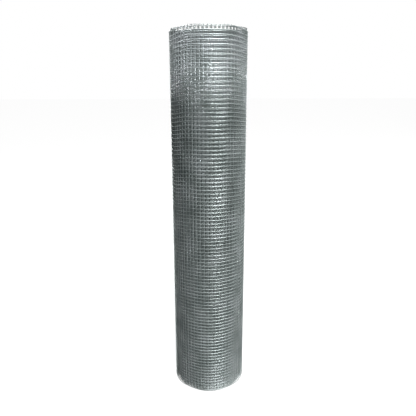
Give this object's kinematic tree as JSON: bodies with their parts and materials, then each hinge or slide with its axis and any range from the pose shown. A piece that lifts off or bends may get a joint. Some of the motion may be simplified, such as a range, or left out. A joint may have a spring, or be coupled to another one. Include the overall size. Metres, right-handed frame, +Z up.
{
  "type": "roll of wire mesh",
  "caption": "Roll of galvanised square welded wire mesh standing on its end, wound about an open bore, a little wider at its foot, with the edge of each turn showing on its ends.",
  "frame": {"origin": "centre of the roll's lower end, on the surface it stands on", "axes": "+Z up along the roll's axis; +X to the right and -Y to the front"},
  "size_m": [0.2149, 0.215, 1.014],
  "materials": {
    "galvanised_wire": "galvanised"
  },
  "bodies": {
    "root": {"mesh_roll": "galvanised_wire"}
  },
  "joints": []
}
